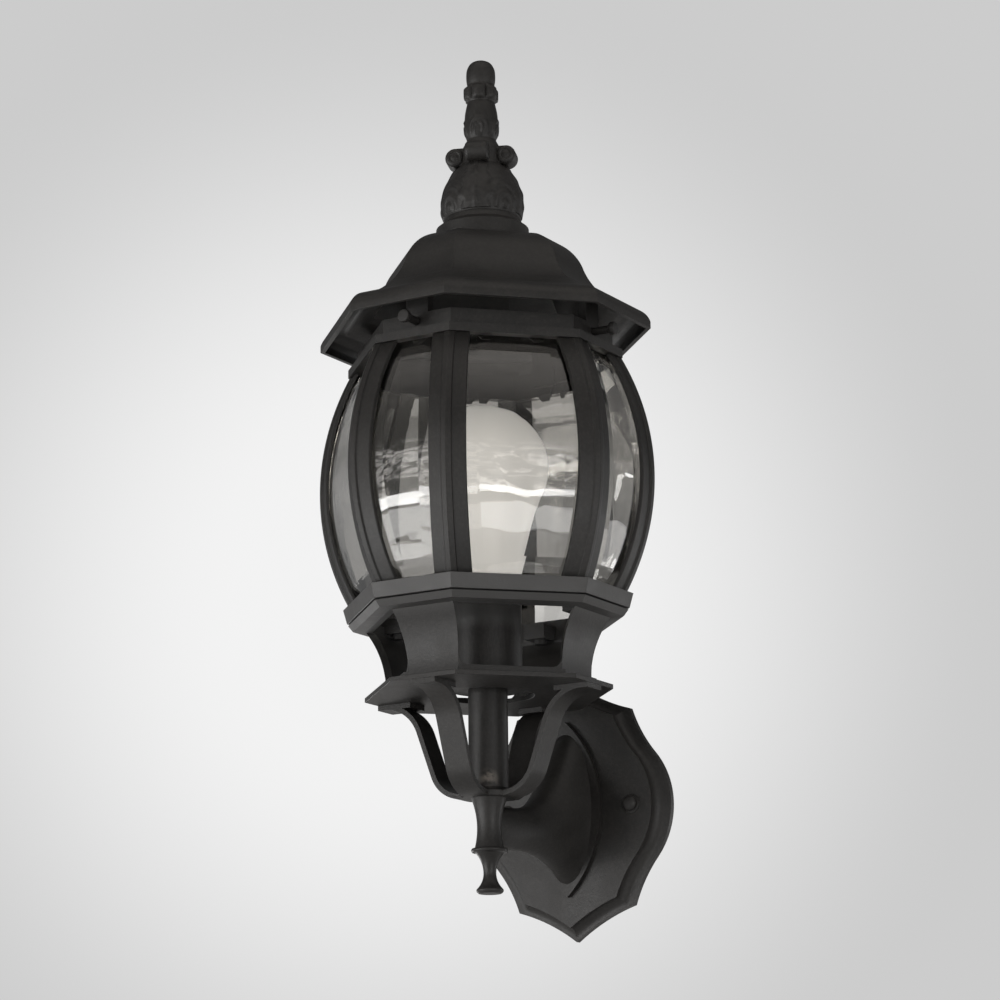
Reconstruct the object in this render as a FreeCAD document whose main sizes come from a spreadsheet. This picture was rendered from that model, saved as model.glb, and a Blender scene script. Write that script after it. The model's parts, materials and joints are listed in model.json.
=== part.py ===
"""Outdoor wall lantern: an eight-sided cast cage with curved glass on a scroll bracket, an arm and a plate.

The back of the plate lies on the wall, the plane Y = 0, with the plate's centre at the origin. The
lantern stands out towards -Y. Its pieces are drawn about its own axis and set out from the wall by axis_out.
Four faces look along X and Y, and the four wider faces between them lie face_step nearer the axis.
"""
import FreeCAD
import Part
import Sketcher
import math
import os
import re

from FreeCAD import Placement, Rotation, Vector

# Driving sizes in millimetres and degrees
SIZES = {
    # layout
    "axis_out": 84.0,
    "face_step": 4.5,
    "seat_gap": 0.3,
    "thread_gap": 0.15,
    # back plate: rim, raised field and hollow
    "rim_thick": 3.0,
    "rim_tip": 64.0,
    "rim_corner_x": 32.0,
    "rim_corner_z": 48.0,
    "rim_hip_x": 44.4,
    "rim_hip_z": 25.5,
    "rim_side_radius": 40.0,
    "field_depth": 9.0,
    "field_tip": 57.6,
    "field_corner_x": 25.6,
    "field_corner_z": 44.4,
    "field_hip_x": 37.0,
    "field_hip_z": 24.7,
    "field_side_radius": 38.4,
    "tip_radius": 100.0,
    "shoulder_radius": 70.0,
    "cove_fillet": 4.6,
    "plate_wall": 2.6,
    "hollow_inset": 3.0,
    # mounting and arm screws
    "mount_spacing": 70.0,
    "mount_stud_radius": 2.05,
    "mount_stud_reach": 14.0,
    "mount_shoulder_radius": 2.5,
    "mount_head_radius": 3.7,
    "mount_head_height": 3.6,
    "arm_screw_spacing": 52.0,
    "arm_screw_radius": 2.0,
    "arm_screw_length": 10.0,
    "arm_screw_head_radius": 3.6,
    "arm_screw_head_height": 2.4,
    "wire_way_radius": 4.0,
    "wire_way_depth": 10.0,
    # arm: post, horn and foot
    "post_foot_z": -27.0,
    "post_top_z": -3.5,
    "post_top_radius": 8.4,
    "post_foot_radius": 7.0,
    "post_curve": 38.0,
    "foot_thick": 2.6,
    "foot_half_height": 43.0,
    "foot_half_width": 19.0,
    # drop finial under the post
    "drop_ring_radius": 8.8,
    "drop_ring_height": 2.0,
    "drop_shoulder_radius": 6.8,
    "drop_length": 21.2,
    "drop_waist_radius": 3.0,
    "drop_waist_drop": 11.6,
    "drop_foot_radius": 6.4,
    "drop_sole_radius": 5.4,
    "drop_foot_height": 2.0,
    "drop_socket_depth": 6.0,
    # tie rod through the stack, and its nut
    "rod_radius": 2.5,
    "rod_clearance": 0.3,
    "nut_flats": 8.0,
    "nut_height": 4.0,
    "rod_tail": 9.0,
    # scroll bracket
    "hub_radius": 13.0,
    "strap_thick": 2.4,
    "strap_width": 13.0,
    "strap_angle": 70.0,
    "strap_low_radius": 16.5,
    "strap_top_radius": 20.4,
    "strap_tail": 3.7,
    "lug_overhang": -0.3,
    "lug_margin": 3.3,
    "small_screw_radius": 1.6,
    "small_screw_head_radius": 2.9,
    "small_screw_head_height": 2.2,
    # deck plate
    "deck_z": 45.3,
    "deck_thick": 2.2,
    "deck_lip": 7.2,
    "deck_hole_radius": 22.0,
    # column tube and socket cup
    "tube_radius": 9.4,
    "tube_wall": 1.4,
    "tube_round": 2.2,
    "cup_z": 48.0,
    "cup_flange_radius": 18.2,
    "cup_flange_height": 2.0,
    "cup_radius": 16.5,
    "cup_wall": 0.9,
    "cup_height": 44.0,
    # lampholder and bulb
    "holder_gap": 0.25,
    "holder_top_z": 100.5,
    "holder_floor": 6.0,
    "shell_wall": 0.4,
    "shell_depth": 22.0,
    "contact_radius": 4.0,
    "contact_thick": 1.2,
    "base_radius": 13.0,
    "base_height": 22.5,
    "base_gap": 0.35,
    "bulb_radius": 30.0,
    "bulb_neck_radius": 15.8,
    "bulb_neck_height": 4.5,
    "bulb_equator_height": 55.0,
    "bulb_side_curve": 75.0,
    "bulb_shoulder_angle": 28.0,
    # gallery under the cage
    "gallery_height": 36.2,
    "gallery_base_height": 3.0,
    "gallery_base_lip": 2.2,
    "gallery_base_ledge": 3.0,
    "gallery_wall": 2.6,
    "cove_inset": 13.0,
    "cove_radius": 45.4,
    "cove_height": 27.2,
    "cove_skirt": 1.5,
    "gallery_band_drop": 3.9,
    "gallery_band_taper": 2.2,
    "joint_step": 0.5,
    "joint_groove": 0.8,
    "joint_groove_depth": 3.0,
    "window_half_width": 24.8,
    "window_flare": 4.2,
    "window_sill": 4.2,
    "window_corner": 5.0,
    "ear_width": 11.0,
    "ear_margin": 5.8,
    "ear_thick": 3.6,
    # cage
    "bottom_ring_height": 7.0,
    "bottom_ring_lip": 6.1,
    "bottom_ring_taper": 1.8,
    "bottom_ring_ledge": 5.6,
    "glass_height": 115.4,
    "glass_reach": 61.6,
    "glass_thick": 3.0,
    "glass_edge_gap": 0.5,
    "barrel_radius": 126.0,
    "rib_thick": 1.7,
    "rib_gap": 0.1,
    "rib_width": 17.5,
    "bead_rise": 0.9,
    "bead_width": 5.0,
    "flange_height": 4.2,
    "flange_lip": 3.6,
    "band_height": 8.2,
    "band_wall": 2.2,
    "clip_thick": 0.9,
    "clip_width": 8.0,
    "clip_leg": 3.4,
    "clip_leaf": 6.0,
    "clip_spread": 12.5,
    "clip_gap": 0.2,
    # roof
    "eave_rise": 1.5,
    "eave_reach": 78.0,
    "eave_width": 11.0,
    "eave_lip": 3.2,
    "eave_round": 9.5,
    "roof_wall": 2.2,
    "sweep_height": 11.0,
    "sweep_step": 0.7,
    "sweep_radius": 36.0,
    "dome_reach": 48.6,
    "dome_height": 31.0,
    "dome_radius": 24.0,
    "crown_reach": 22.0,
    "crown_height": 48.0,
    "collar_foot_radius": 22.7,
    "collar_foot_height": 8.0,
    "collar_waist_radius": 19.6,
    "collar_top_radius": 18.9,
    "collar_height": 13.0,
    "collar_floor": 3.6,
    "lug_width": 12.0,
    "tongue_thick": 2.4,
    "tongue_length": 7.8,
    # thumb screws under the eave
    "thumb_screw_radius": 1.9,
    "thumb_screw_rise": 4.3,
    "thumb_head_radius": 3.2,
    "thumb_head_thick": 3.0,
    "thumb_reach": 12.2,
    # finial and its stud
    "finial_turn": 21.0,
    "finial_foot_radius": 19.0,
    "finial_foot_rise": 1.5,
    "finial_belly_radius": 20.3,
    "finial_belly_rise": 8.0,
    "finial_urn_radius": 12.6,
    "finial_urn_rise": 26.0,
    "finial_core_radius": 10.0,
    "finial_core_rise": 28.0,
    "finial_crook_rise": 37.5,
    "finial_neck_radius": 7.0,
    "finial_neck_rise": 41.5,
    "finial_bud_radius": 8.7,
    "finial_bud_rise": 49.5,
    "finial_wrist_radius": 7.2,
    "finial_wrist_rise": 60.0,
    "finial_ring_radius": 7.6,
    "finial_leaf_rise": 62.0,
    "finial_ring_rise": 68.5,
    "finial_cup_radius": 6.0,
    "finial_cup_rise": 70.6,
    "finial_egg_radius": 7.2,
    "finial_egg_rise": 74.5,
    "finial_cap_radius": 5.6,
    "finial_cap_rise": 79.6,
    "finial_height": 83.2,
    "volute_radius": 4.6,
    "volute_reach": 12.6,
    "volute_width": 9.0,
    "volute_rise": 32.6,
    "leaf_count": 8,
    "leaf_radius": 2.6,
    "leaf_reach": 6.2,
    "leaf_height": 6.5,
    "flute_radius": 2.4,
    "flute_reach": 21.6,
    "stud_radius": 2.5,
    "stud_depth": 14.0,
    "stud_tail": 9.0,
}

# Sections of the horn from post to foot: distance from the axis, centre height, half height, half width
HORN = {
    "root": (2.0, -16.0, 7.6, 3.4),
    "tube": (22.0, -15.6, 10.1, 7.6),
    "throat": (43.0, -12.0, 14.0, 10.0),
    "flare": (58.5, -5.5, 24.5, 11.5),
    "bell": (68.0, -1.0, 33.0, 13.0),
    "foot": (73.0, 0.0, 37.0, 14.5),
}
for section, (out, centre, tall, wide) in HORN.items():
    SIZES[f"horn_{section}_out"] = out
    SIZES[f"horn_{section}_z"] = centre
    SIZES[f"horn_{section}_tall"] = tall
    SIZES[f"horn_{section}_wide"] = wide

# Sizes that follow from others, so that pieces keep their seats
FITS = {
    "band_inner_reach": "(glass_reach - glass_thick)",
    "band_reach": "(band_inner_reach + band_wall)",
    "flange_reach": "(glass_reach + flange_lip)",
    "thumb_head_reach": "(band_reach + thumb_reach)",
    "bottom_ring_inner_reach": "(glass_reach - bottom_ring_ledge)",
    "bottom_ring_reach": "(glass_reach + bottom_ring_lip)",
    "bottom_ring_foot_reach": "(bottom_ring_reach - bottom_ring_taper)",
    "ear_screw_reach": "(bottom_ring_inner_reach - ear_margin)",
    "ear_inner_reach": "(ear_screw_reach - ear_margin)",
    "gallery_band_reach": "(bottom_ring_foot_reach - joint_step)",
    "gallery_band_foot_reach": "(gallery_band_reach - gallery_band_taper)",
    "cove_low_reach": "(glass_reach - cove_inset)",
    "gallery_base_reach": "(cove_low_reach + gallery_base_lip)",
    "gallery_inner_reach": "(cove_low_reach - gallery_wall - gallery_base_ledge)",
    "sweep_reach": "(eave_reach - eave_width)",
    "strap_screw_reach": "(cove_low_reach - gallery_wall - small_screw_head_radius - seat_gap)",
    "pad_inner_reach": "(strap_screw_reach - ear_margin)",
    "deck_reach": "(gallery_base_reach + deck_lip)",
    "lug_reach": "(deck_reach + lug_overhang)",
    "lug_inner_reach": "(strap_screw_reach - lug_margin)",
    "strap_drop": "(deck_z - strap_thick - post_top_z)",
    "strap_bends": "(strap_low_radius + strap_top_radius)",
    "strap_run": "((strap_drop - strap_bends * (1 - cos(strap_angle))) / sin(strap_angle))",
    "strap_top_reach": "(lug_reach - strap_tail)",
    "strap_foot_reach": "(strap_top_reach - strap_bends * sin(strap_angle) - strap_run * cos(strap_angle))",
}

# Levels worked out from the stack of pieces
GALLERY_Z = "(deck_z + deck_thick)"
CAGE_Z = f"({GALLERY_Z} + gallery_height)"
GLASS_Z = f"({CAGE_Z} + bottom_ring_height)"
RING_Z = f"({GLASS_Z} + glass_height)"
BAND_Z = f"({RING_Z} + flange_height)"
BAND_TOP_Z = f"({BAND_Z} + band_height)"
EAVE_Z = f"({BAND_TOP_Z} + eave_rise)"
COLLAR_Z = f"({EAVE_Z} + crown_height)"
FINIAL_Z = f"({COLLAR_Z} + collar_height)"
HUB_TOP_Z = "(post_top_z + strap_thick)"
CUP_FLOOR_Z = "(cup_z + cup_flange_height)"
HOLDER_Z = f"({CUP_FLOOR_Z} + nut_height)"
BASE_Z = "(holder_top_z - shell_depth)"
FIELD_OUT = "(axis_out - field_depth)"
BORE = "(rod_radius + rod_clearance)"
SMALL_BORE = "(small_screw_radius + thread_gap)"

doc = FreeCAD.newDocument("wall_lantern")
sheet = doc.addObject("Spreadsheet::Sheet", "sizes")
for row, (alias, size) in enumerate(SIZES.items(), start=1):
    sheet.set(f"A{row}", alias)
    sheet.set(f"B{row}", str(size))
    sheet.setAlias(f"B{row}", alias)
doc.recompute()

WORD = re.compile(r"[a-z][a-z_]*")
LEFT, RIGHT = 1, -1
pieces = []


# Binding and drawing

def cells(text):
    """Points every size that an expression names at its cell, through the sizes that follow from others."""
    def cell(match):
        word = match[0]
        if word in FITS:
            return cells(FITS[word])
        return f"sizes.{word}" if word in SIZES else word
    return WORD.sub(cell, text)


def value(text):
    return float(sheet.evalExpression(cells(text)))


def bind(feature, name, text):
    feature.setExpression(name, cells(text))


def origin(body, role):
    return next(feature for feature in body.Origin.OriginFeatures if feature.Role == role)


def new_body(label, turn=0.0, on_axis=True):
    """A piece of the model. Pieces of the lantern stand on its axis, turned about it in degrees."""
    body = doc.addObject("PartDesign::Body", label)
    body.Placement = Placement(Vector(), Rotation(Vector(0, 0, 1), turn))
    if on_axis:
        bind(body, "Placement.Base.y", "-axis_out")
    pieces.append(body)
    return body


def sketch_on(body, role, name, out="", turn=0.0):
    """A sketch on an origin plane turned about the plane's Y, moved out along the turned normal."""
    sketch = body.newObject("Sketcher::SketchObject", f"{body.Name}_{name}")
    sketch.AttachmentSupport = [(origin(body, role), "")]
    sketch.MapMode = "FlatFace"
    sketch.AttachmentOffset = Placement(Vector(), Rotation(Vector(0, 1, 0), turn))
    if out:
        bind(sketch, "AttachmentOffset.Base.x", f"({out}) * sin({turn})")
        bind(sketch, "AttachmentOffset.Base.z", f"({out}) * cos({turn})")
    return sketch


def fix_point(sketch, edge, end, x, y):
    """Ties a point of an edge to its distances from the sketch's origin."""
    for kind, axis, text in (("DistanceX", -2, x), ("DistanceY", -1, y)):
        if text == "0":
            sketch.addConstraint(Sketcher.Constraint("PointOnObject", edge, end, axis))
        else:
            index = sketch.addConstraint(Sketcher.Constraint(kind, -1, 1, edge, end, value(text)))
            bind(sketch, f"Constraints[{index}]", text)


def fix_radius(sketch, edge, radius):
    index = sketch.addConstraint(Sketcher.Constraint("Radius", edge, value(radius)))
    bind(sketch, f"Constraints[{index}]", radius)


def arc_between(start, end, radius, side):
    """The short arc from start to end that turns LEFT or RIGHT."""
    chord = end - start
    rise = math.sqrt(max(radius ** 2 - chord.Length ** 2 / 4, 0.0))
    centre = (start + end) / 2 + Vector(-chord.y, chord.x, 0).normalize() * rise * side
    first, last = (start, end) if side == LEFT else (end, start)
    angles = [math.atan2(point.y - centre.y, point.x - centre.x) for point in (first, last)]
    return Part.ArcOfCircle(Part.Circle(centre, Vector(0, 0, 1), radius), *angles)


def outline(sketch, corners):
    """A closed outline. A corner is (x, y), or (x, y, side, radius) where an arc runs on from it."""
    points = [Vector(value(corner[0]), value(corner[1]), 0) for corner in corners]
    edges = []
    for number, corner in enumerate(corners):
        start, end = points[number], points[(number + 1) % len(points)]
        if len(corner) == 2:
            edge = sketch.addGeometry(Part.LineSegment(start, end), False)
            edges.append((edge, 1, 2))
        else:
            side, radius = corner[2:]
            edge = sketch.addGeometry(arc_between(start, end, value(radius), side), False)
            edges.append((edge, 1, 2) if side == LEFT else (edge, 2, 1))
    for number, (edge, first, last) in enumerate(edges):
        following, entry, _ = edges[(number + 1) % len(edges)]
        sketch.addConstraint(Sketcher.Constraint("Coincident", edge, last, following, entry))
        fix_point(sketch, edge, first, *corners[number][:2])
        if len(corners[number]) > 2:
            fix_radius(sketch, edge, corners[number][3])


def circle(sketch, x, y, radius):
    centre = Vector(value(x), value(y), 0)
    edge = sketch.addGeometry(Part.Circle(centre, Vector(0, 0, 1), value(radius)), False)
    fix_point(sketch, edge, 3, x, y)
    fix_radius(sketch, edge, radius)


def ellipse(sketch, y, tall, wide):
    """An upright ellipse on the sketch's Y axis, given by its half height and half width."""
    centre = Vector(0, value(y), 0)
    top = centre + Vector(0, value(tall), 0)
    side = centre + Vector(value(wide), 0, 0)
    edge = sketch.addGeometry(Part.Ellipse(top, side, centre), False)
    sketch.exposeInternalGeometry(edge)
    long_axis, short_axis = edge + 1, edge + 2
    sketch.addConstraint(Sketcher.Constraint("Vertical", long_axis))
    fix_point(sketch, edge, 3, "0", y)
    for line, half in ((long_axis, tall), (short_axis, wide)):
        index = sketch.addConstraint(Sketcher.Constraint("Distance", line, value(f"2 * {half}")))
        bind(sketch, f"Constraints[{index}]", f"2 * {half}")


# Features

def pad(body, sketch, length, both=False):
    feature = body.newObject("PartDesign::Pad", f"{sketch.Name}_pad")
    feature.Profile = sketch
    feature.SideType = "Symmetric" if both else "One side"
    bind(feature, "Length", length)
    return feature


def cut(body, sketch, depth="", both=False, reverse=False):
    """A pocket as deep as given, or right through. It has to take something away."""
    doc.recompute()
    before = body.Shape.Volume
    feature = body.newObject("PartDesign::Pocket", f"{sketch.Name}_cut")
    feature.Profile = sketch
    feature.SideType = "Symmetric" if both else "One side"
    feature.Reversed = reverse
    if depth:
        bind(feature, "Length", depth)
    else:
        feature.Type = "ThroughAll"
    doc.recompute()
    if not body.Shape.Volume < before:
        raise RuntimeError(f"{sketch.Name} cuts nothing")
    return feature


def revolve(body, sketch):
    feature = body.newObject("PartDesign::Revolution", f"{sketch.Name}_turned")
    feature.Profile = sketch
    feature.ReferenceAxis = (sketch, ["V_Axis"])
    feature.Angle = 360
    return feature


def upright_arc(x, y, far_x, far_y):
    """Radius of the arc that stands upright at one point and ends at another."""
    return f"((({x}) - ({far_x}))^2 + (({y}) - ({far_y}))^2) / (2 * abs(({x}) - ({far_x})))"


def around(body, feature, count, angle=360.0):
    """Repeats a feature round the body's Z axis."""
    pattern = body.newObject("PartDesign::PolarPattern", f"{feature.Name}_around")
    pattern.Originals = [feature]
    pattern.Axis = (origin(body, "Z_Axis"), [""])
    pattern.Angle = angle
    if isinstance(count, str):
        bind(pattern, "Occurrences", count)
    else:
        pattern.Occurrences = count
    body.Tip = pattern
    return pattern


def turned(label, corners):
    """A piece turned about the lantern's axis from an outline of radii and heights."""
    body = new_body(label)
    sketch = sketch_on(body, "XZ_Plane", "profile")
    outline(sketch, corners)
    revolve(body, sketch)
    return body


def octagon(reach):
    """Corners of the lantern's eight-sided outline whose faces on X and Y lie at reach from the axis."""
    side = f"(sqrt(2) * (({reach}) - face_step) - ({reach}))"
    quarter = [(reach, side), (side, reach)]
    half = quarter + [(f"-({x})", y) for x, y in reversed(quarter)]
    return half + [(f"-({x})", f"-({y})") for x, y in half]


def swept(label, section, on_axis=True):
    """A ring whose section runs round the eight-sided outline with mitred corners."""
    body = new_body(label, on_axis=on_axis)
    path = sketch_on(body, "XY_Plane", "path")
    corners = octagon("glass_reach")
    outline(path, corners)
    profile = sketch_on(body, "XZ_Plane", "section")
    outline(profile, section)
    pipe = body.newObject("PartDesign::AdditivePipe", f"{label}_sweep")
    pipe.Profile = profile
    pipe.Spine = (path, [f"Edge{number}" for number in range(1, len(corners) + 1)])
    pipe.Transition = "Right corner"
    return body


def small_screws(label, reach, seat_z, length, up):
    """Four upright screws on a circle about the axis, driven up or down from the seat of their heads."""
    body = new_body(label)
    shanks = sketch_on(body, "XY_Plane", "shanks", out=seat_z if up else f"{seat_z} - ({length})")
    circle(shanks, reach, "0", "small_screw_radius")
    shank = pad(body, shanks, length)
    heads = sketch_on(body, "XY_Plane", "heads", out=f"{seat_z} - small_screw_head_height" if up else seat_z)
    circle(heads, reach, "0", "small_screw_head_radius")
    head = pad(body, heads, "small_screw_head_height")
    pattern = around(body, head, 4)
    pattern.Originals = [shank, head]


def hex_nut(label, z, bore):
    """A six-sided nut on the axis."""
    body = new_body(label)
    sketch = sketch_on(body, "XY_Plane", "flats", out=z)
    half, corner = "nut_flats / 2", "nut_flats / sqrt(3)"
    quarter = [(f"{corner} / 2", half), (f"-{corner} / 2", half), (f"-{corner}", "0")]
    outline(sketch, quarter + [(f"-{corner} / 2", f"-{half}"), (f"{corner} / 2", f"-{half}"), (corner, "0")])
    circle(sketch, "0", "0", bore)
    pad(body, sketch, "nut_height")
    return body


# Back plate, its screws and the arm

def escutcheon(name, inset="0"):
    """Plate outline with points at top and bottom, four corners and rounded sides."""
    tip, corner_x, corner_z, hip_x, hip_z = (
        f"({name}_{key} - {inset})" for key in ("tip", "corner_x", "corner_z", "hip_x", "hip_z"))
    right = [
        ("0", f"-{tip}", RIGHT, "tip_radius"),
        (corner_x, f"-{corner_z}", RIGHT, "shoulder_radius"),
        (hip_x, f"-{hip_z}", LEFT, f"{name}_side_radius"),
        (hip_x, hip_z, RIGHT, "shoulder_radius"),
        (corner_x, corner_z, RIGHT, "tip_radius"),
    ]
    left = [(f"-{x}", z.replace("--", ""), *bend) for x, z, *bend in (
        (corner_x, corner_z, RIGHT, "shoulder_radius"),
        (hip_x, hip_z, LEFT, f"{name}_side_radius"),
        (hip_x, f"-{hip_z}", RIGHT, "shoulder_radius"),
        (corner_x, f"-{corner_z}", RIGHT, "tip_radius"),
    )]
    return right + [("0", tip, RIGHT, "tip_radius")] + left


def make_back_plate():
    body = new_body("back_plate", on_axis=False)
    rim = sketch_on(body, "XZ_Plane", "rim")
    outline(rim, escutcheon("rim"))
    pad(body, rim, "rim_thick")
    field = sketch_on(body, "XZ_Plane", "field", out="rim_thick")
    outline(field, escutcheon("field"))
    raised = pad(body, field, "field_depth - rim_thick")
    doc.recompute()
    level = -value("rim_thick")
    inside = value("(rim_tip + field_tip) / 2")
    foot = [f"Edge{number}" for number, edge in enumerate(body.Shape.Edges, start=1)
            if all(abs(vertex.Y - level) < 1e-4 for vertex in edge.Vertexes) and is_field_edge(edge, inside)]
    cove = body.newObject("PartDesign::Fillet", "back_plate_cove")
    cove.Base = (raised, foot)
    bind(cove, "Radius", "cove_fillet")
    hollow = sketch_on(body, "XZ_Plane", "hollow")
    outline(hollow, escutcheon("field", "hollow_inset"))
    cut(body, hollow, "field_depth - plate_wall", reverse=True)
    holes = sketch_on(body, "XZ_Plane", "holes")
    for side in ("", "-"):
        circle(holes, f"{side}mount_spacing / 2", "0", "mount_shoulder_radius + thread_gap")
        circle(holes, "0", f"{side}arm_screw_spacing / 2", "arm_screw_radius + thread_gap")
    circle(holes, "0", "0", "wire_way_radius")
    cut(body, holes, "field_depth", reverse=True)


def is_field_edge(edge, inside):
    """True for an edge of the raised field, whose points all lie nearer the centre than the rim's outline."""
    corners = {round(abs(value(f"field_{key}")), 3) for key in ("tip", "corner_z", "hip_z")}
    return all(round(abs(vertex.Z), 3) in corners for vertex in edge.Vertexes) and edge.BoundBox.ZMax < inside


def make_mounting_screws():
    """Two screws with domed heads that stand out behind the plate into the wall box."""
    body = new_body("mounting_screws", on_axis=False)
    for name, side in (("right", ""), ("left", "-")):
        x = f"{side}mount_spacing / 2"
        for part, out, length, radius in (
            ("stud", "-mount_stud_reach", "mount_stud_reach + field_depth - plate_wall", "mount_stud_radius"),
            ("shoulder", "field_depth - plate_wall", "plate_wall", "mount_shoulder_radius"),
            ("head", "field_depth", "mount_head_height", "mount_head_radius"),
        ):
            sketch = sketch_on(body, "XZ_Plane", f"{name}_{part}", out=out)
            circle(sketch, x, "0", radius)
            feature = pad(body, sketch, length)
        doc.recompute()
        front = -value("field_depth + mount_head_height")
        rims = [f"Edge{number}" for number, edge in enumerate(body.Shape.Edges, start=1)
                if abs(edge.BoundBox.YMax - front) < 1e-4 and edge.BoundBox.Center.x * value(x) > 0]
        dome = body.newObject("PartDesign::Fillet", f"mounting_screws_{name}_dome")
        dome.Base = (feature, rims)
        bind(dome, "Radius", "mount_head_height * 0.8")


def make_arm_screws():
    body = new_body("arm_screws", on_axis=False)
    for name, side in (("upper", ""), ("lower", "-")):
        for part, out, length, radius in (
            ("head", "field_depth - plate_wall - arm_screw_head_height", "arm_screw_head_height",
             "arm_screw_head_radius"),
            ("shank", "field_depth - plate_wall", "arm_screw_length", "arm_screw_radius"),
        ):
            sketch = sketch_on(body, "XZ_Plane", f"{name}_{part}", out=out)
            circle(sketch, "0", f"{side}arm_screw_spacing / 2", radius)
            pad(body, sketch, length)


def make_arm():
    """Post and horn in one casting, with a pointed oval foot that lies on the plate."""
    body = new_body("arm")
    sections = []
    for name in HORN:
        sketch = sketch_on(body, "XZ_Plane", name, out=f"-horn_{name}_out")
        ellipse(sketch, f"horn_{name}_z", f"horn_{name}_tall", f"horn_{name}_wide")
        sections.append(sketch)
    horn = body.newObject("PartDesign::AdditiveLoft", "arm_horn")
    horn.Profile = sections[0]
    horn.Sections = sections[1:]
    foot = sketch_on(body, "XZ_Plane", "oval", out=f"-{FIELD_OUT}")
    bow = "((foot_half_height^2 + foot_half_width^2) / (2 * foot_half_width))"
    outline(foot, [("0", "-foot_half_height", LEFT, bow), ("0", "foot_half_height", LEFT, bow)])
    pad(body, foot, "foot_thick")
    post = sketch_on(body, "XZ_Plane", "post")
    outline(post, [
        ("0", "post_foot_z"),
        ("post_foot_radius", "post_foot_z", RIGHT, "post_curve"),
        ("post_top_radius", "post_top_z"),
        ("0", "post_top_z"),
    ])
    revolve(body, post)
    bore = sketch_on(body, "XY_Plane", "bore", out="post_top_z")
    circle(bore, "0", "0", BORE)
    cut(body, bore, "post_top_z - post_foot_z")
    holes = sketch_on(body, "XZ_Plane", "holes", out=f"-{FIELD_OUT}")
    for side in ("", "-"):
        circle(holes, "0", f"{side}arm_screw_spacing / 2", "arm_screw_radius + thread_gap")
    cut(body, holes, "arm_screw_length - plate_wall + thread_gap", reverse=True)
    wire_way = sketch_on(body, "XZ_Plane", "wire_way", out=f"-{FIELD_OUT}")
    circle(wire_way, "0", "0", "wire_way_radius")
    cut(body, wire_way, "wire_way_depth", reverse=True)


# The stack on the axis

def make_drop_finial():
    top, foot = "post_foot_z", "(post_foot_z - drop_length)"
    waist = ("drop_waist_radius", f"({top} - drop_waist_drop)")
    flank = ("drop_foot_radius", f"({foot} + drop_foot_height)")
    shoulder = ("drop_shoulder_radius", f"({top} - drop_ring_height)")

    def waist_to(radius, z):
        return upright_arc(*waist, radius, z)

    body = turned("drop_finial", [
        ("0", foot),
        ("drop_sole_radius", foot),
        ("drop_foot_radius", f"{foot} + drop_foot_height / 2"),
        (*flank, RIGHT, waist_to(*flank)),
        (*waist, RIGHT, waist_to(*shoulder)),
        shoulder,
        ("drop_ring_radius - drop_ring_height / 4", f"{top} - drop_ring_height"),
        ("drop_ring_radius", f"{top} - drop_ring_height / 2"),
        ("drop_ring_radius - drop_ring_height / 4", top),
        ("0", top),
    ])
    socket = sketch_on(body, "XY_Plane", "socket", out=top)
    circle(socket, "0", "0", BORE)
    cut(body, socket, "drop_socket_depth")


def make_tie_rod():
    foot = "(post_foot_z - drop_socket_depth + rod_clearance)"
    top = f"({HOLDER_Z} + holder_floor - rod_clearance)"
    turned("tie_rod", [("0", foot), ("rod_radius", foot), ("rod_radius", top), ("0", top)])


def make_scroll_bracket():
    """Four flat straps that sweep up in an S from a hub to lugs under the deck."""
    body = new_body("scroll_bracket")
    hub = sketch_on(body, "XY_Plane", "hub", out="post_top_z")
    circle(hub, "0", "0", "hub_radius")
    pad(body, hub, "strap_thick")
    low_z = f"({HUB_TOP_Z} + strap_low_radius - strap_thick / 2)"
    top_z = "(deck_z - strap_thick / 2 - strap_top_radius)"

    def low(radius):
        return f"strap_foot_reach + {radius} * sin(strap_angle)", f"{low_z} - {radius} * cos(strap_angle)"

    def high(radius):
        return f"strap_top_reach - {radius} * sin(strap_angle)", f"{top_z} + {radius} * cos(strap_angle)"

    low_out, low_in = "(strap_low_radius + strap_thick / 2)", "(strap_low_radius - strap_thick / 2)"
    top_out, top_in = "(strap_top_radius + strap_thick / 2)", "(strap_top_radius - strap_thick / 2)"
    strap = sketch_on(body, "XZ_Plane", "strap")
    outline(strap, [
        ("0", "post_top_z"),
        ("strap_foot_reach", "post_top_z", LEFT, low_out),
        low(low_out),
        (*high(top_in), RIGHT, top_in),
        ("strap_top_reach", "deck_z - strap_thick"),
        ("lug_reach", "deck_z - strap_thick"),
        ("lug_reach", "deck_z"),
        ("strap_top_reach", "deck_z", LEFT, top_out),
        high(top_out),
        (*low(low_in), RIGHT, low_in),
        ("strap_foot_reach", HUB_TOP_Z),
        ("0", HUB_TOP_Z),
    ])
    arm = pad(body, strap, "strap_width", both=True)
    lug = sketch_on(body, "XZ_Plane", "lug")
    outline(lug, [
        ("lug_inner_reach", "deck_z - strap_thick"),
        ("lug_reach", "deck_z - strap_thick"),
        ("lug_reach", "deck_z"),
        ("lug_inner_reach", "deck_z"),
    ])
    flat = pad(body, lug, "strap_width", both=True)
    straps = around(body, flat, 4)
    straps.Originals = [arm, flat]
    bore = sketch_on(body, "XY_Plane", "bore", out=HUB_TOP_Z)
    circle(bore, "0", "0", BORE)
    cut(body, bore, "strap_thick")
    screw_holes(body, "lug_holes", "deck_z", "strap_thick", "strap_screw_reach")


def screw_holes(body, name, top_z, depth, reach):
    """Four upright clearance holes for small screws, down from top_z."""
    sketch = sketch_on(body, "XY_Plane", name, out=top_z)
    for x, y in ((reach, "0"), ("0", reach), (f"-{reach}", "0"), ("0", f"-{reach}")):
        circle(sketch, x, y, SMALL_BORE)
    cut(body, sketch, depth)


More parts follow.
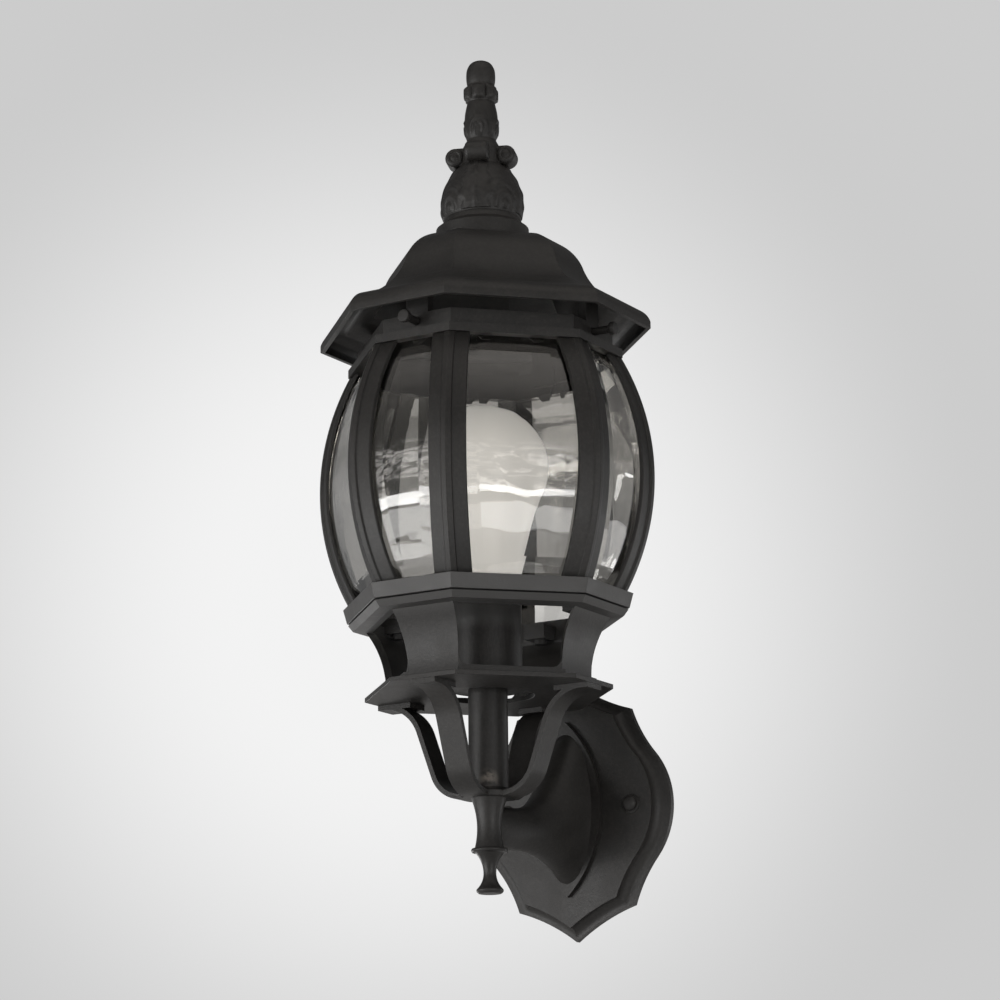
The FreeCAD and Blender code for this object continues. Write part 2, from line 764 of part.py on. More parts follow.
def make_deck_plate():
    body = new_body("deck_plate")
    sketch = sketch_on(body, "XY_Plane", "outline", out="deck_z")
    outline(sketch, octagon("deck_reach"))
    circle(sketch, "0", "0", "deck_hole_radius")
    pad(body, sketch, "deck_thick")
    screw_holes(body, "lug_holes", GALLERY_Z, "deck_thick", "strap_screw_reach")


def make_column():
    turned("column_tube", [
        ("tube_radius - tube_wall", HUB_TOP_Z),
        ("tube_radius - tube_round / 2", HUB_TOP_Z),
        ("tube_radius", f"{HUB_TOP_Z} + tube_round"),
        ("tube_radius", "cup_z"),
        ("tube_radius - tube_wall", "cup_z"),
    ])
    turned("socket_cup", [
        (BORE, "cup_z"),
        ("cup_flange_radius", "cup_z"),
        ("cup_flange_radius", CUP_FLOOR_Z),
        ("cup_radius", CUP_FLOOR_Z),
        ("cup_radius", f"{CUP_FLOOR_Z} + cup_height"),
        ("cup_radius - cup_wall", f"{CUP_FLOOR_Z} + cup_height"),
        ("cup_radius - cup_wall", CUP_FLOOR_Z),
        (BORE, CUP_FLOOR_Z),
    ])
    hex_nut("rod_nut", CUP_FLOOR_Z, BORE)


def make_lampholder():
    outside = "(cup_radius - cup_wall - holder_gap)"
    shell = "(base_radius + base_gap)"
    bore = f"({shell} + shell_wall)"
    turned("lampholder", [
        (BORE, HOLDER_Z),
        (outside, HOLDER_Z),
        (outside, "holder_top_z"),
        (bore, "holder_top_z"),
        (bore, f"{BASE_Z} - contact_thick"),
        ("contact_radius", f"{BASE_Z} - contact_thick"),
        ("contact_radius", f"{HOLDER_Z} + holder_floor"),
        (BORE, f"{HOLDER_Z} + holder_floor"),
    ])
    turned("screw_shell", [
        (shell, f"{BASE_Z} + 2 * contact_thick"),
        (bore, f"{BASE_Z} + 2 * contact_thick"),
        (bore, "holder_top_z"),
        (shell, "holder_top_z"),
    ])
    floor = f"({BASE_Z} - contact_thick)"
    turned("centre_contact", [
        ("0", floor),
        ("contact_radius * 1.5", floor),
        ("contact_radius * 1.5", f"{floor} + contact_thick / 2"),
        ("contact_radius", BASE_Z),
        ("0", BASE_Z),
    ])


def make_bulb():
    """A frosted bulb with its screw base, in one sealed piece."""
    base_top = f"({BASE_Z} + base_height)"
    equator = f"({base_top} + bulb_equator_height)"
    side_x = "(bulb_radius * cos(bulb_shoulder_angle))"
    side_z = f"({equator} - bulb_radius * sin(bulb_shoulder_angle))"
    turned("bulb", [
        ("0", BASE_Z),
        ("contact_radius", BASE_Z),
        ("base_radius * 0.75", f"{BASE_Z} + 2 * contact_thick"),
        ("base_radius", f"{BASE_Z} + 3 * contact_thick"),
        ("base_radius", base_top),
        ("bulb_neck_radius", f"{base_top} + bulb_neck_height", RIGHT, "bulb_side_curve"),
        (side_x, side_z, LEFT, "bulb_radius"),
        ("bulb_radius", equator, LEFT, "bulb_radius"),
        ("0", f"{equator} + bulb_radius"),
    ])


# Gallery and cage

def bored_pads(body, name, z, depth, inner_reach, outer_reach, screw_reach):
    """Four pads inside a ring, on the faces that look along X and Y, each bored for a small screw."""
    sketch = sketch_on(body, "XY_Plane", name, out=z)
    outline(sketch, [
        (inner_reach, "-ear_width / 2"),
        (outer_reach, "-ear_width / 2"),
        (outer_reach, "ear_width / 2"),
        (inner_reach, "ear_width / 2"),
    ])
    around(body, pad(body, sketch, depth), 4)
    screw_holes(body, f"{name}_holes", f"{z} + {depth}", depth, screw_reach)


def make_gallery():
    """A coved casting with a post on each face that looks along X or Y and a window in each face between."""
    base_top = f"({GALLERY_Z} + gallery_base_height)"
    cove_z = f"({base_top} + cove_skirt)"
    cove_top = f"({cove_z} + cove_height)"
    band_z = f"({CAGE_Z} - gallery_band_drop)"
    inner_radius = "(cove_radius + gallery_wall)"
    outer_top = "(cove_low_reach + cove_radius - sqrt(cove_radius^2 - cove_height^2))"
    inner_top = f"(cove_low_reach + cove_radius - sqrt({inner_radius}^2 - cove_height^2))"
    body = swept("gallery", [
        ("gallery_inner_reach", GALLERY_Z),
        ("gallery_base_reach", GALLERY_Z),
        ("gallery_base_reach", base_top),
        ("cove_low_reach", base_top),
        ("cove_low_reach", cove_z, RIGHT, "cove_radius"),
        (outer_top, cove_top),
        ("gallery_band_foot_reach", band_z),
        ("gallery_band_reach", f"{CAGE_Z} - joint_groove"),
        ("gallery_band_reach - joint_groove_depth", f"{CAGE_Z} - joint_groove"),
        ("gallery_band_reach - joint_groove_depth", CAGE_Z),
        (inner_top, CAGE_Z),
        (inner_top, cove_top, LEFT, inner_radius),
        ("cove_low_reach - gallery_wall", cove_z),
        ("cove_low_reach - gallery_wall", base_top),
        ("gallery_inner_reach", base_top),
    ])
    sill = f"({GALLERY_Z} + window_sill)"
    window = sketch_on(body, "XZ_Plane", "window", turn=45.0)
    low = ("window_half_width", f"({sill} + window_corner)")
    high = ("(window_half_width + window_flare)", cove_top)
    bow = upright_arc(*low, *high)
    outline(window, [
        ("-window_half_width + window_corner", sill),
        ("window_half_width - window_corner", sill, LEFT, "window_corner"),
        (*low, RIGHT, bow),
        high,
        (f"-{high[0]}", cove_top, RIGHT, bow),
        ("-window_half_width", low[1], LEFT, "window_corner"),
    ])
    around(body, cut(body, window, both=True), 2, angle=90.0)
    bored_pads(body, "ear", f"{CAGE_Z} - ear_thick", "ear_thick", "ear_inner_reach",
               f"{inner_top} + gallery_wall / 2", "ear_screw_reach")
    bored_pads(body, "foot", GALLERY_Z, "gallery_base_height", "pad_inner_reach",
               "gallery_inner_reach + gallery_wall", "strap_screw_reach")


def make_cage_rings():
    bottom = swept("cage_bottom_ring", [
        ("bottom_ring_inner_reach", CAGE_Z),
        ("bottom_ring_foot_reach", CAGE_Z),
        ("bottom_ring_reach", GLASS_Z),
        ("bottom_ring_inner_reach", GLASS_Z),
    ])
    bored_pads(bottom, "ear", CAGE_Z, "ear_thick", "ear_inner_reach",
               "bottom_ring_inner_reach + gallery_wall", "ear_screw_reach")
    top = swept("cage_top_ring", [
        ("band_inner_reach", RING_Z),
        ("flange_reach", RING_Z),
        ("flange_reach", BAND_Z),
        ("band_reach", BAND_Z),
        ("band_reach", BAND_TOP_Z),
        ("band_inner_reach", BAND_TOP_Z),
    ])
    tapped = sketch_on(top, "XZ_Plane", "tapped")
    circle(tapped, "0", f"{BAND_Z} + thumb_screw_rise", "thumb_screw_radius + thread_gap")
    around(top, cut(top, tapped, both=True), 2, angle=90.0)


def barrel_reach(offset="0", below_top="0"):
    """How far the barrel's curve lies from the axis: outside the glass by offset, down from its top edge."""
    half = "(glass_height / 2)"
    centre = f"(glass_reach - sqrt(barrel_radius^2 - {half}^2))"
    return f"({centre} + sqrt((barrel_radius + {offset})^2 - ({half} - {below_top})^2))"


def barrel_section(inner, outer, shift="0"):
    """Section of a curved wall between the cage rings, from one offset of the glass to another."""
    near, far = (f"({barrel_reach(offset)} - {shift})" for offset in (inner, outer))
    return [
        (near, GLASS_Z),
        (far, GLASS_Z, LEFT, f"barrel_radius + {outer}"),
        (far, RING_Z),
        (near, RING_Z, RIGHT, f"barrel_radius + {inner}"),
    ]


def make_glass_panel(number):
    """One curved panel, mitred at its upright edges to meet its neighbours behind the ribs."""
    diagonal = number % 2
    body = new_body(f"glass_panel_{number + 1}", turn=45.0 * number)
    shift = "face_step" if diagonal else "0"
    profile = sketch_on(body, "XZ_Plane", "profile")
    outline(profile, barrel_section("(-glass_thick)", "0", shift))
    pad(body, profile, "2 * glass_reach", both=True)
    trim = sketch_on(body, "XY_Plane", "mitre", out=GLASS_Z)
    step = "+ sqrt(2) * face_step" if diagonal else "- sqrt(2) * face_step"
    near, far, wide = "(glass_reach / 2)", "(2 * glass_reach)", "(2 * glass_reach)"

    def edge(x):
        return f"(tan(22.5) * {x} {step} - glass_edge_gap / 2)"

    outline(trim, [(near, edge(near)), (far, edge(far)), (far, wide), (near, wide)])
    outline(trim, [(near, f"-{wide}"), (far, f"-{wide}"), (far, f"-{edge(far)}"), (near, f"-{edge(near)}")])
    cut(body, trim, "glass_height", reverse=True)


def make_ribs():
    """Eight V-shaped strips over the corners of the glass, each with a raised bead along its middle."""
    strip = swept("rib_strip", barrel_section("rib_gap", "rib_gap + rib_thick"), on_axis=False)
    bead = swept("rib_bead", barrel_section("rib_gap", "rib_gap + rib_thick + bead_rise"), on_axis=False)
    for shell in (strip, bead):
        pieces.remove(shell)
    for number in range(8):
        angle = 22.5 + 45.0 * number
        side = -1 if number % 2 == 0 else 1
        face_angle = angle + side * 22.5
        layers = []
        for name, shell, width in (("strip", strip, "rib_width"), ("bead", bead, "bead_width")):
            slab = doc.addObject("Part::Box", f"rib_{number + 1}_{name}_slab")
            slab.Placement = Placement(Vector(), Rotation(Vector(0, 0, 1), angle))
            bind(slab, "Length", "2 * glass_reach")
            bind(slab, "Width", width)
            bind(slab, "Height", "glass_height")
            across = f"({side} * sqrt(2) * face_step)"
            half = f"({width} / 2)"
            bind(slab, "Placement.Base.x", f"-{across} * sin({face_angle}) + {half} * sin({angle})")
            bind(slab, "Placement.Base.y", f"{across} * cos({face_angle}) - {half} * cos({angle})")
            bind(slab, "Placement.Base.z", GLASS_Z)
            layer = doc.addObject("Part::Common", f"rib_{number + 1}_{name}")
            layer.Base, layer.Tool = shell, slab
            layers.append(layer)
        rib = doc.addObject("Part::Fuse", f"rib_{number + 1}")
        rib.Base, rib.Tool = layers
        rib.Label = f"rib_{number + 1}"
        bind(rib, "Placement.Base.y", "-axis_out")
        pieces.append(rib)


def make_glass_clips():
    """Spring clips on the inside of the top ring: one on each narrow panel and two on each wide one."""
    body = new_body("glass_clips")
    for name, turn, out in (
        ("narrow", 0.0, ""), ("wide_left", 45.0, "clip_spread"), ("wide_right", 45.0, "-clip_spread"),
    ):
        shift = "face_step" if turn else "0"
        wall = f"(band_inner_reach - {shift})"
        bend = f"({barrel_reach('(-glass_thick)')} - {shift} - clip_gap)"
        tip = f"({barrel_reach('(-glass_thick)', 'clip_leaf')} - {shift} - clip_gap)"
        sketch = sketch_on(body, "XZ_Plane", name, out=out, turn=turn)
        outline(sketch, [
            (wall, f"{RING_Z} + clip_gap"),
            (wall, f"{RING_Z} + clip_leg"),
            (f"{wall} - clip_thick", f"{RING_Z} + clip_leg"),
            (f"{bend} - clip_thick", RING_Z),
            (f"{tip} - clip_thick", f"{RING_Z} - clip_leaf"),
            (tip, f"{RING_Z} - clip_leaf"),
            (bend, RING_Z),
        ])
        around(body, pad(body, sketch, "clip_width", both=True), 4)


# Roof and finial

def arc_height(start, end, radius, x):
    """Height at x on the hollow arc of a radius that runs down from start to end."""
    span_x, span_z = f"({end[0]} - {start[0]})", f"({end[1]} - {start[1]})"
    length = f"sqrt({span_x}^2 + {span_z}^2)"
    rise = f"sqrt({radius}^2 - ({span_x}^2 + {span_z}^2) / 4)"
    centre_x = f"(({start[0]} + {end[0]}) / 2 - {span_z} / {length} * {rise})"
    centre_z = f"(({start[1]} + {end[1]}) / 2 + {span_x} / {length} * {rise})"
    return f"({centre_z} - sqrt({radius}^2 - ({x} - {centre_x})^2))"


def make_roof():
    """A bell-shaped shell with a round collar on top and four lugs that stand in the cage's top ring."""
    crown = ("crown_reach", COLLAR_Z)
    dome = ("dome_reach", f"({EAVE_Z} + dome_height)")
    sweep = ("sweep_reach", f"({EAVE_Z} + sweep_height)")
    step = ("sweep_reach", f"({EAVE_Z} + sweep_height - sweep_step)")

    def inner(corner):
        return f"({corner[0]} - roof_wall)", f"({corner[1]} - roof_wall)"

    body = swept("roof", [
        (*crown, RIGHT, "dome_radius"),
        (*dome, LEFT, "sweep_radius"),
        sweep,
        (*step, RIGHT, "eave_round"),
        ("eave_reach", f"{EAVE_Z} + eave_lip"),
        ("eave_reach", EAVE_Z),
        ("eave_reach - roof_wall", EAVE_Z),
        ("eave_reach - roof_wall", f"{EAVE_Z} + eave_lip", LEFT, "eave_round - roof_wall"),
        (step[0], f"({step[1]} - roof_wall)"),
        (*inner(sweep), RIGHT, "sweep_radius"),
        (*inner(dome), LEFT, "dome_radius"),
        inner(crown),
    ])
    collar = sketch_on(body, "XZ_Plane", "collar")
    outline(collar, [
        ("stud_radius + thread_gap", f"{COLLAR_Z} - collar_floor"),
        ("crown_reach - roof_wall / 2", f"{COLLAR_Z} - collar_floor"),
        ("collar_foot_radius", f"{COLLAR_Z} - roof_wall / 2"),
        ("collar_foot_radius", f"{COLLAR_Z} + collar_foot_height"),
        ("collar_waist_radius", f"{COLLAR_Z} + collar_foot_height * 1.3"),
        ("collar_top_radius", FINIAL_Z),
        ("stud_radius + thread_gap", FINIAL_Z),
    ])
    revolve(body, collar)
    tongue = "(band_inner_reach - seat_gap)"
    shoulder = "(band_reach - seat_gap)"
    lug_top = f"{arc_height(dome, sweep, 'sweep_radius', shoulder)} - roof_wall / 2"
    lug = sketch_on(body, "XZ_Plane", "lug")
    outline(lug, [
        (f"{tongue} - tongue_thick", f"{BAND_TOP_Z} - tongue_length"),
        (tongue, f"{BAND_TOP_Z} - tongue_length"),
        (tongue, BAND_TOP_Z),
        (shoulder, BAND_TOP_Z),
        (shoulder, lug_top),
        (f"{tongue} - tongue_thick", lug_top),
    ])
    around(body, pad(body, lug, "lug_width", both=True), 4)


def make_thumb_screws():
    """Four thumb screws in the ring's band whose tips hold the lugs of the roof."""
    body = new_body("thumb_screws")
    tip = "(band_inner_reach - seat_gap + thread_gap)"
    height = f"{BAND_Z} + thumb_screw_rise"
    shank = sketch_on(body, "YZ_Plane", "shank", out=tip)
    circle(shank, "0", height, "thumb_screw_radius")
    stem = pad(body, shank, f"thumb_head_reach - thumb_head_thick - {tip}")
    disc = sketch_on(body, "YZ_Plane", "head", out="thumb_head_reach - thumb_head_thick")
    circle(disc, "0", height, "thumb_head_radius")
    head = pad(body, disc, "thumb_head_thick")
    pattern = around(body, head, 4)
    pattern.Originals = [stem, head]


def finial_at(radius, rise):
    return f"finial_{radius}_radius", f"({FINIAL_Z} + finial_{rise}_rise)"


def make_finial():
    """A cast finial: fluted urn, four scroll volutes, bud, ring of leaf tips and an egg on top."""
    foot, belly, urn = finial_at("foot", "foot"), finial_at("belly", "belly"), finial_at("urn", "urn")
    neck, bud, wrist = finial_at("neck", "neck"), finial_at("bud", "bud"), finial_at("wrist", "wrist")
    cup, egg, cap = finial_at("cup", "cup"), finial_at("egg", "egg"), finial_at("cap", "cap")
    tip = f"({FINIAL_Z} + finial_height)"
    body = turned("finial", [
        ("0", FINIAL_Z),
        ("finial_foot_radius", FINIAL_Z),
        (*foot, LEFT, upright_arc(*belly, *foot)),
        (*belly, LEFT, upright_arc(*belly, *urn)),
        urn,
        finial_at("core", "core"),
        finial_at("core", "crook"),
        (*neck, LEFT, upright_arc(*bud, *neck)),
        (*bud, LEFT, upright_arc(*bud, *wrist)),
        wrist,
        finial_at("ring", "leaf"),
        finial_at("ring", "ring"),
        (*cup, LEFT, upright_arc(*egg, *cup)),
        (*egg, LEFT, upright_arc(*egg, *cap)),
        (*cap, LEFT, f"(finial_cap_radius^2 + ({tip} - {cap[1]})^2) / (2 * ({tip} - {cap[1]}))"),
        ("0", tip),
    ])
    bind(body, "Placement.Rotation.Angle", "finial_turn")
    scroll = sketch_on(body, "XZ_Plane", "volute")
    circle(scroll, "volute_reach", f"{FINIAL_Z} + volute_rise", "volute_radius")
    roll = pad(body, scroll, "volute_width", both=True)
    web = sketch_on(body, "XZ_Plane", "volute_web")
    outline(web, [
        ("finial_neck_radius / 2", f"{FINIAL_Z} + volute_rise"),
        ("volute_reach", f"{FINIAL_Z} + volute_rise"),
        ("volute_reach", f"{FINIAL_Z} + volute_rise + volute_radius"),
        ("finial_neck_radius / 2", f"{FINIAL_Z} + volute_rise + volute_radius"),
    ])
    volutes = around(body, pad(body, web, "volute_width", both=True), 4)
    volutes.Originals = [roll, volutes.Originals[0]]
    leaf = sketch_on(body, "XY_Plane", "leaf", out=f"{FINIAL_Z} + finial_leaf_rise")
    circle(leaf, "leaf_reach", "0", "leaf_radius")
    around(body, pad(body, leaf, "leaf_height"), "leaf_count")
    flute = sketch_on(body, "XY_Plane", "flute", out=urn[1])
    circle(flute, "flute_reach", "0", "flute_radius")
    around(body, cut(body, flute, "finial_urn_rise - finial_foot_rise"), "leaf_count")
    socket = sketch_on(body, "XY_Plane", "socket", out=FINIAL_Z)
    circle(socket, "0", "0", "stud_radius + thread_gap")
    cut(body, socket, "stud_depth", reverse=True)
    floor = f"({COLLAR_Z} - collar_floor)"
    foot = f"({floor} - stud_tail)"
    top = f"({FINIAL_Z} + stud_depth - thread_gap)"
    turned("finial_stud", [("0", foot), ("stud_radius", foot), ("stud_radius", top), ("0", top)])
    hex_nut("finial_nut", f"{floor} - nut_height", "stud_radius + thread_gap")


make_back_plate()
make_mounting_screws()
make_arm()
make_arm_screws()
make_drop_finial()
make_tie_rod()
make_scroll_bracket()
make_deck_plate()
small_screws("strap_screws", "strap_screw_reach", f"{GALLERY_Z} + gallery_base_height",
             "gallery_base_height + deck_thick + strap_thick", up=False)
make_column()
make_lampholder()
make_bulb()
make_gallery()
make_cage_rings()
small_screws("cage_screws", "ear_screw_reach", f"{CAGE_Z} - ear_thick", "2 * ear_thick", up=True)
for panel in range(8):
    make_glass_panel(panel)
make_ribs()
make_glass_clips()
make_roof()
make_thumb_screws()
make_finial()
doc.recompute()

# Every object has to be sound before anything is written
for item in doc.Objects:
    if "Invalid" in item.State or "Error" in item.State:
        raise RuntimeError(f"{item.Name} failed: {item.State}")
os.makedirs("parts", exist_ok=True)
for piece in pieces:
    if piece.Shape.isNull() or not piece.Shape.isValid():
        raise RuntimeError(f"{piece.Label} has no sound shape")
    piece.Shape.exportStep(f"parts/{piece.Label}.step")
    print(piece.Label, "solids", len(piece.Shape.Solids), "volume", round(piece.Shape.Volume, 1))
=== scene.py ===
"""Outdoor wall lantern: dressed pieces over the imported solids, their finishes, and a plain studio."""

import json
import math

import bmesh
import bpy
from mathutils import Matrix, Vector, geometry


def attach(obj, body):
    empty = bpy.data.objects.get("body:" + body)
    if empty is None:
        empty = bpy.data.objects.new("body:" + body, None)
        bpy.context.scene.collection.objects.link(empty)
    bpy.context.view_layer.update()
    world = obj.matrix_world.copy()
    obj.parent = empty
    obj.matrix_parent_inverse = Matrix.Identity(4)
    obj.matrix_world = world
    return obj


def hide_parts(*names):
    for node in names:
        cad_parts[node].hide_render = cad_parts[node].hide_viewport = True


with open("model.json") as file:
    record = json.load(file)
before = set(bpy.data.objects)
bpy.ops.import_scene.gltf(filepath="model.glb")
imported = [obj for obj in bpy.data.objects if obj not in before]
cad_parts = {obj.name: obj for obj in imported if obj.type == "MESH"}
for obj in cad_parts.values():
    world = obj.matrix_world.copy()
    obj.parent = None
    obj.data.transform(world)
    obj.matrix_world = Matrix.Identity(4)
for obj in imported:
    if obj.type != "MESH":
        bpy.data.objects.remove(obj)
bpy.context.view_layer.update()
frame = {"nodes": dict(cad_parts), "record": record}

# Sizes of the pieces in millimetres and turns in degrees, with heights from the middle of the back plate
MM = 0.001
AXIS_OUT = 84.0
FACES = 8
FACE_TURN = 45.0
FACE_STEP = 4.5
HALF_FACE = math.tan(math.radians(FACE_TURN / 2))
GLASS_FOOT, GLASS_TOP = 90.7, 206.1
GLASS_REACH = 61.6
GLASS_THICK = 3.0
GLASS_GAP = 0.5
BARREL_RADIUS = 126.0
SIDE_BEVEL, END_BEVEL, BEVEL_DEPTH = 15.0, 9.0, 1.7
PANE_COLUMNS, PANE_ROWS, END_SLACK = 10, 44, 0.01
CLIP_SPREAD, CLIP_TIP, CLIP_TAPER = 12.5, 0.5, 0.5
CLIP_LIFT = Vector((-1.6, 0.0, 3.4))
FINIAL_FOOT = 281.0
FINIAL_TURN = 21.0
VOLUTE_REACH, VOLUTE_RISE, VOLUTE_RADIUS, VOLUTE_WIDTH = 12.6, 32.1, 4.9, 11.6
THUMB_HEIGHT = 214.6
MOUNT_SPACING = 70.0
STAIN_PLACE, STAIN_CORE, STAIN_EDGE = Vector((4.4, -91.3, 5.0)), 1.0, 5.8
# Heights of a painted sheen: the coat is drawn lighter from the lower ring up through the band under it, in
# place of the light that those faces catch
SHEEN_FOOT, SHEEN_FULL, SHEEN_TOP, SHEEN_END = 73.0, 81.0, 90.6, 91.2

# The studio in metres and degrees, its sensor and lens in millimetres, its pool of light in radians
LANTERN_MIDDLE = Vector((0.0, -AXIS_OUT * MM, 0.14))
FLOOR_HEIGHT, FLOOR_RADIUS = -0.55, 4.0
CAMERA_AIM, CAMERA_DISTANCE = Vector((0.0, -0.084, 0.1405)), 1.5525
CAMERA_AZIMUTH, CAMERA_ELEVATION, CAMERA_ROLL = 31.0549, -13.5945, -0.6595
SENSOR_WIDTH, LENS_LENGTH = 36.0, 116.56
SHIFT_RIGHT, SHIFT_UP = 0.0144, 0.00015
POOL_RIGHT, POOL_UP, POOL_CORE, POOL_EDGE = -0.0264, -0.0309, 0.0463, 0.1915
LEFT_AZIMUTH = -31.0

ON_AXIS = Matrix.Scale(MM, 4) @ Matrix.Translation((0.0, -AXIS_OUT, 0.0))
ON_WALL = Matrix.Scale(MM, 4)


# Shader expressions

class Value:
    """A node's output that takes part in Python expressions."""

    def __init__(self, nodes, socket):
        self.nodes, self.socket = nodes, socket

    def math(self, operation, first, second=0.0):
        return self.nodes.add("Math", {"operation": operation}, {0: first, 1: second})

    def __add__(self, other):
        return self.math("ADD", self, other)

    def __sub__(self, other):
        return self.math("SUBTRACT", self, other)

    def __rsub__(self, other):
        return self.math("SUBTRACT", other, self)

    def __mul__(self, other):
        return self.math("MULTIPLY", self, other)

    __radd__ = __add__
    __rmul__ = __mul__

    def between(self, low, high):
        """0 below low, 1 above high and a smooth step between them."""
        return self.nodes.add("MapRange", {"interpolation_type": "SMOOTHSTEP"}, {0: self, 1: low, 2: high})


class Nodes:
    """A node tree, with one method that adds any node to it."""

    def __init__(self, tree):
        self.tree = tree

    def add(self, kind, settings, sockets, output=0):
        node = self.tree.nodes.new(f"ShaderNode{kind}")
        for name, setting in settings.items():
            setattr(node, name, setting)
        self.fill(node, sockets)
        return Value(self, node.outputs[output])

    def fill(self, node, sockets):
        for name, given in sockets.items():
            if isinstance(given, Value):
                self.tree.links.new(given.socket, node.inputs[name])
            else:
                node.inputs[name].default_value = given

    def noise(self, place, scale, detail=2.0, roughness=0.5, distortion=0.0):
        return self.add("TexNoise", {}, {
            "Vector": place, "Scale": scale, "Detail": detail,
            "Roughness": roughness, "Distortion": distortion})

    def blend(self, share, first, second):
        """A colour between two others."""
        return self.add("Mix", {"data_type": "RGBA"}, {0: share, 6: first, 7: second}, output=2)


class Finish(Nodes):
    """A procedural surface on Object coordinates."""

    def __init__(self, name):
        self.material = bpy.data.materials.new(name)
        self.material.use_nodes = True
        super().__init__(self.material.node_tree)
        self.shader = self.tree.nodes["Principled BSDF"]
        self.place = self.add("TexCoord", {}, {}, output="Object")

    def stretched(self, x, y, z):
        return self.add("Mapping", {}, {"Vector": self.place, "Scale": (x, y, z)})

    def set(self, **sockets):
        self.fill(self.shader, {name.replace("_", " "): given for name, given in sockets.items()})

    def bump(self, height, distance, strength):
        normal = self.add("Bump", {}, {"Height": height, "Distance": distance, "Strength": strength})
        self.set(Normal=normal)


def grey(level, warmth=0.0):
    """A grey that leans from blue to red by its warmth."""
    return level * (1 + warmth), level, level * (1 - warmth), 1.0


def black_coat_finish():
    """Satin powder coat, cloudy and finely grained, drawn lighter as a painted sheen on the lower ring and
    the band under it, and stained low on the tube.
    """
    coat = Finish("black_coat")
    cloud = coat.noise(coat.place, 24.0, 5.0, 0.62, 0.4)
    speck = coat.noise(coat.place, 620.0, 3.0, 0.6)
    peel = coat.noise(coat.place, 1500.0, 2.0)
    share = cloud.between(0.32, 0.7) * 0.6 + speck.between(0.42, 0.72) * 0.4
    ends = {0: coat.place, 1: STAIN_PLACE * MM}
    away = coat.add("VectorMath", {"operation": "DISTANCE"}, ends, output="Value")
    blotch = coat.noise(coat.place, 320.0, 3.0).between(0.3, 0.6)
    stain = (1 - away.between(STAIN_CORE * MM, STAIN_EDGE * MM)) * blotch
    height = coat.add("SeparateXYZ", {}, {"Vector": coat.place}, output="Z")
    above = height.between(SHEEN_TOP * MM, SHEEN_END * MM)
    # Painted sheen: between these heights the coat is blended towards a lighter grey, which stands in for
    # light on the lower ring rather than a fade of the paint
    painted_sheen = height.between(SHEEN_FOOT * MM, SHEEN_FULL * MM) * (1 - above)
    paint = coat.blend(share, grey(0.008, 0.07), grey(0.02, 0.07))
    paint = coat.blend(painted_sheen, paint, grey(0.04, 0.02))
    coat.set(Base_Color=coat.blend(stain, paint, grey(0.11, 0.14)))
    coat.set(Roughness=0.42 + 0.15 * cloud.between(0.3, 0.75) - 0.05 * speck)
    coat.set(Specular_IOR_Level=0.31)
    coat.bump(0.7 * peel + 0.9 * speck + 0.6 * cloud, 0.00012, 0.6)
    return coat.material


def clear_glass_finish():
    """Pressed clear glass with a faint smoky cast and a slow wave in its surface."""
    glass = Finish("clear_glass")
    wave = glass.noise(glass.stretched(0.7, 0.7, 1.3), 44.0, 1.0, 0.4, 0.8)
    haze = glass.noise(glass.place, 160.0, 4.0, 0.6)
    glass.set(Base_Color=(0.80, 0.785, 0.755, 1.0), Transmission_Weight=1.0, IOR=1.48)
    glass.set(Roughness=0.004 + 0.03 * haze.between(0.45, 0.8))
    glass.bump(wave, 0.0012, 0.16)
    return glass.material


def frosted_glass_finish():
    """White frosted glass, with a little glow in place of the light that passes through it."""
    frost = Finish("frosted_glass")
    cloud = frost.noise(frost.place, 30.0, 3.0, 0.5)
    etch = frost.noise(frost.place, 2400.0, 2.0)
    frost.set(Base_Color=frost.blend(cloud, (0.83, 0.82, 0.795, 1.0), (0.9, 0.89, 0.87, 1.0)))
    frost.set(Roughness=0.34 + 0.16 * cloud, Coat_Weight=0.25, Coat_Roughness=0.12)
    frost.set(Emission_Color=(1.0, 0.985, 0.95, 1.0), Emission_Strength=0.36)
    frost.bump(etch, 0.00004, 0.2)
    return frost.material


def zinc_steel_finish():
    """Zinc plate with a small spangle."""
    steel = Finish("zinc_steel")
    spangle = steel.add("TexVoronoi", {}, {"Vector": steel.place, "Scale": 420.0}, output="Color")
    smear = steel.noise(steel.stretched(1.0, 1.0, 6.0), 180.0, 4.0)
    shade = steel.add("SeparateColor", {}, {"Color": spangle})
    steel.set(Base_Color=steel.blend(shade, (0.2, 0.2, 0.205, 1.0), (0.3, 0.3, 0.295, 1.0)), Metallic=1.0)
    steel.set(Roughness=0.28 + 0.2 * smear)
    steel.bump(smear, 0.00008, 0.2)
    return steel.material


def brass_finish():
    """Turned brass with fine rings and a light stain."""
    brass = Finish("brass")
    turning = brass.noise(brass.stretched(1.0, 1.0, 12.0), 150.0, 3.0)
    stain = brass.noise(brass.place, 90.0, 4.0)
    brass.set(Base_Color=brass.blend(stain, (0.62, 0.44, 0.2, 1.0), (0.78, 0.6, 0.32, 1.0)), Metallic=1.0)
    brass.set(Roughness=0.24 + 0.2 * stain)
    brass.bump(turning, 0.00006, 0.2)
    return brass.material


def porcelain_finish():
    """Cream glaze of a lampholder."""
    glaze = Finish("porcelain")
    cloud = glaze.noise(glaze.place, 60.0, 3.0)
    glaze.set(Base_Color=glaze.blend(cloud, (0.74, 0.72, 0.66, 1.0), (0.84, 0.82, 0.77, 1.0)))
    glaze.set(Roughness=0.16 + 0.14 * cloud, Coat_Weight=0.4)
    glaze.bump(cloud, 0.0003, 0.1)
    return glaze.material


def floor_finish():
    """Matt pale paint."""
    floor = Finish("pale_floor")
    cloud = floor.noise(floor.place, 6.0, 3.0)
    floor.set(Base_Color=floor.blend(cloud, grey(0.84), grey(0.88)), Roughness=0.75)
    return floor.material


